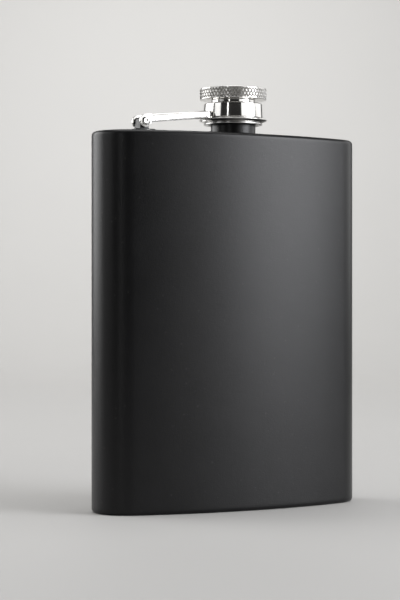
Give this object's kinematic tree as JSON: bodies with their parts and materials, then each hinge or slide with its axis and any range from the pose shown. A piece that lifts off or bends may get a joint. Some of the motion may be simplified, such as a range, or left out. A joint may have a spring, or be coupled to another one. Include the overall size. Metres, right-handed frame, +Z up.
{
  "type": "hip flask",
  "caption": "Curved pocket hip flask in matte black with a bare steel knurled screw cap held by a hinged arm.",
  "frame": {"origin": "the resting plane, below the middle of the flask's own width and thickness", "axes": "+Z up through the neck, -Y out of the convex front, -X towards the cap's hinge"},
  "size_m": [0.095, 0.0284, 0.1371],
  "materials": {
    "black_coat": "matte black powder coat on steel",
    "polished_steel": "polished stainless steel",
    "turned_steel": "fine turned stainless steel",
    "silicone": "plain pale silicone"
  },
  "bodies": {
    "flask": {"body_wall": "black_coat", "base_plate": "black_coat", "top_plate": "black_coat", "neck_tube": "black_coat", "hinge_bracket": "black_coat"},
    "arm": {"captive_arm": "polished_steel", "hinge_pin": "polished_steel"},
    "cap": {"cap_sleeve": "turned_steel", "cap_skirt": "polished_steel", "cap_knob": "polished_steel", "cap_seal": "silicone"}
  },
  "joints": [
    {"name": "arm_hinge", "type": "hinge", "parent": "flask", "child": "arm", "pos_m": [-0.0335, -0.0025, 0.12465], "axis": [0, -1, 0], "range_deg": [0, 174]},
    {"name": "cap_spin", "type": "hinge", "parent": "arm", "child": "cap", "pos_m": [0, -0.0025, 0.1215], "axis": [0, 0, 1], "continuous": true}
  ]
}
